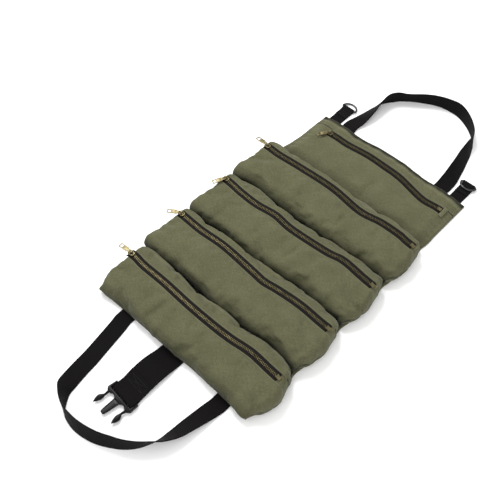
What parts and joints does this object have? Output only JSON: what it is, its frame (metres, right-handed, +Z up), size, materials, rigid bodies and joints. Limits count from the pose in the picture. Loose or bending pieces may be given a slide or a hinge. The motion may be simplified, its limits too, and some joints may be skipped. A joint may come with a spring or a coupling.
{
  "type": "roll-up tool bag",
  "caption": "Canvas tool roll laid open: zipped pouches side by side on a folding back, with webbing handles, a buckle strap and D-rings on tabs at its ends.",
  "frame": {"origin": "underside of the back panel, at the middle of the open roll", "axes": "+X along the zips from the sliders to the end stops, +Y from the buckle end to the ring end, +Z up out of the pouches"},
  "size_m": [0.3717, 0.9587, 0.0496],
  "materials": {
    "canvas": "matt olive cotton canvas",
    "canvas_back": "matt olive cotton canvas, doubled",
    "zip_tape": "black woven tape",
    "zip_brass": "antique brass",
    "webbing": "black woven webbing",
    "buckle_plastic": "black moulded plastic",
    "ring_steel": "dark plated steel"
  },
  "bodies": {
    "bay_1": {"back_panel_1": "canvas_back", "pouch_1": "canvas", "zip_tape_1": "zip_tape", "zip_teeth_1": "zip_brass", "zip_stop_1": "zip_brass"},
    "bay_2": {"back_panel_2": "canvas_back", "pouch_2": "canvas", "zip_tape_2": "zip_tape", "zip_teeth_2": "zip_brass", "zip_stop_2": "zip_brass"},
    "bay_3": {"back_panel_3": "canvas_back", "pouch_3": "canvas", "zip_tape_3": "zip_tape", "zip_teeth_3": "zip_brass", "zip_stop_3": "zip_brass"},
    "bay_4": {"back_panel_4": "canvas_back", "pouch_4": "canvas", "zip_tape_4": "zip_tape", "zip_teeth_4": "zip_brass", "zip_stop_4": "zip_brass", "female_strap": "webbing"},
    "bay_5": {"back_panel_5": "canvas_back", "pouch_5": "canvas", "zip_tape_5": "zip_tape", "zip_teeth_5": "zip_brass", "zip_stop_5": "zip_brass"},
    "slider_1": {"slider_1": "zip_brass"},
    "pull_1": {"pull_1": "zip_brass"},
    "slider_2": {"slider_2": "zip_brass"},
    "pull_2": {"pull_2": "zip_brass"},
    "slider_3": {"slider_3": "zip_brass"},
    "pull_3": {"pull_3": "zip_brass"},
    "slider_4": {"slider_4": "zip_brass"},
    "pull_4": {"pull_4": "zip_brass"},
    "slider_5": {"slider_5": "zip_brass"},
    "pull_5": {"pull_5": "zip_brass"},
    "near_handle": {"near_handle": "webbing"},
    "far_handle": {"far_handle": "webbing"},
    "tab_left": {"tab_left": "webbing"},
    "tab_right": {"tab_right": "webbing"},
    "ring_left": {"ring_left": "ring_steel"},
    "ring_right": {"ring_right": "ring_steel"},
    "buckle_strap": {"buckle_strap": "webbing"},
    "buckle_male": {"buckle_male": "buckle_plastic"},
    "prong_left": {"prong_left": "buckle_plastic"},
    "prong_right": {"prong_right": "buckle_plastic"},
    "buckle_female": {"buckle_female": "buckle_plastic"}
  },
  "joints": [
    {"name": "crease_23", "type": "hinge", "parent": "bay_3", "child": "bay_2", "pos_m": [0, -0.0655, 0.0024], "axis": [-1, 0, 0], "range_deg": [0, 60]},
    {"name": "crease_12", "type": "hinge", "parent": "bay_2", "child": "bay_1", "pos_m": [0, -0.1765, 0.0024], "axis": [-1, 0, 0], "range_deg": [0, 60]},
    {"name": "crease_34", "type": "hinge", "parent": "bay_3", "child": "bay_4", "pos_m": [0, 0.0455, 0.0024], "axis": [1, 0, 0], "range_deg": [0, 60]},
    {"name": "crease_45", "type": "hinge", "parent": "bay_4", "child": "bay_5", "pos_m": [0, 0.1565, 0.0024], "axis": [1, 0, 0], "range_deg": [0, 60]},
    {"name": "slider_1_run", "type": "slide", "parent": "bay_1", "child": "slider_1", "axis": [1, 0, 0], "range_m": [0, 0.3235]},
    {"name": "pull_1_flip", "type": "hinge", "parent": "slider_1", "child": "pull_1", "pos_m": [-0.168, -0.2165, 0.0474], "axis": [0.0698, -0.9976, 0], "range_deg": [-165, 0]},
    {"name": "slider_2_run", "type": "slide", "parent": "bay_2", "child": "slider_2", "axis": [1, 0, 0], "range_m": [0, 0.3235]},
    {"name": "pull_2_flip", "type": "hinge", "parent": "slider_2", "child": "pull_2", "pos_m": [-0.168, -0.0995, 0.0474], "axis": [0.5299, -0.848, 0], "range_deg": [-165, 0]},
    {"name": "slider_3_run", "type": "slide", "parent": "bay_3", "child": "slider_3", "axis": [1, 0, 0], "range_m": [0, 0.3235]},
    {"name": "pull_3_flip", "type": "hinge", "parent": "slider_3", "child": "pull_3", "pos_m": [-0.168, 0.0115, 0.0474], "axis": [0.9272, -0.3746, 0], "range_deg": [-165, 0]},
    {"name": "slider_4_run", "type": "slide", "parent": "bay_4", "child": "slider_4", "axis": [1, 0, 0], "range_m": [0, 0.3235]},
    {"name": "pull_4_flip", "type": "hinge", "parent": "slider_4", "child": "pull_4", "pos_m": [-0.168, 0.1225, 0.0474], "axis": [0, -1, 0], "range_deg": [-165, 0]},
    {"name": "slider_5_run", "type": "slide", "parent": "bay_5", "child": "slider_5", "axis": [0.9997, -0.0262, 0], "range_m": [0, 0.2535]},
    {"name": "pull_5_flip", "type": "hinge", "parent": "slider_5", "child": "pull_5", "pos_m": [-0.12, 0.2505, 0.0194], "axis": [0.8339, -0.5519, 0], "range_deg": [-165, 0]},
    {"name": "near_handle_swing", "type": "hinge", "parent": "bay_1", "child": "near_handle", "pos_m": [0.007, -0.2888, 0.0009], "axis": [1, 0, 0], "range_deg": [-65, 60]},
    {"name": "strap_swing", "type": "hinge", "parent": "bay_1", "child": "buckle_strap", "pos_m": [0.003, -0.2894, 0.0015], "axis": [1, 0, 0], "range_deg": [-65, 60]},
    {"name": "buckle_male_swing", "type": "hinge", "parent": "buckle_strap", "child": "buckle_male", "pos_m": [0.003, -0.3855, 0.0046], "axis": [1, 0, 0], "range_deg": [-60, 60]},
    {"name": "prong_left_squeeze", "type": "hinge", "parent": "buckle_male", "child": "prong_left", "pos_m": [-0.019, -0.4053, 0.0046], "axis": [0, 0, 1], "range_deg": [0, 8], "stiffness_Nm_per_rad": 0.3},
    {"name": "prong_right_squeeze", "type": "hinge", "parent": "buckle_male", "child": "prong_right", "pos_m": [0.025, -0.4053, 0.0046], "axis": [0, 0, -1], "range_deg": [0, 8], "stiffness_Nm_per_rad": 0.3},
    {"name": "far_handle_swing", "type": "hinge", "parent": "bay_5", "child": "far_handle", "pos_m": [0.002, 0.2888, 0.0009], "axis": [-1, 0, 0], "range_deg": [-90, 60]},
    {"name": "tab_left_swing", "type": "hinge", "parent": "bay_5", "child": "tab_left", "pos_m": [-0.143, 0.2894, 0.0015], "axis": [-1, 0, 0], "range_deg": [-90, 60]},
    {"name": "ring_left_turn", "type": "hinge", "parent": "tab_left", "child": "ring_left", "pos_m": [-0.143, 0.3375, 0.0038], "axis": [-1, 0, 0], "range_deg": [-165, 0]},
    {"name": "tab_right_swing", "type": "hinge", "parent": "bay_5", "child": "tab_right", "pos_m": [0.147, 0.2894, 0.0015], "axis": [-1, 0, 0], "range_deg": [-90, 60]},
    {"name": "ring_right_turn", "type": "hinge", "parent": "tab_right", "child": "ring_right", "pos_m": [0.147, 0.3375, 0.0038], "axis": [-1, 0, 0], "range_deg": [0, 160]},
    {"name": "buckle_female_swing", "type": "hinge", "parent": "bay_4", "child": "buckle_female", "pos_m": [0, 0.0935, 0.0066], "axis": [-1, 0, 0], "range_deg": [0, 80]}
  ]
}
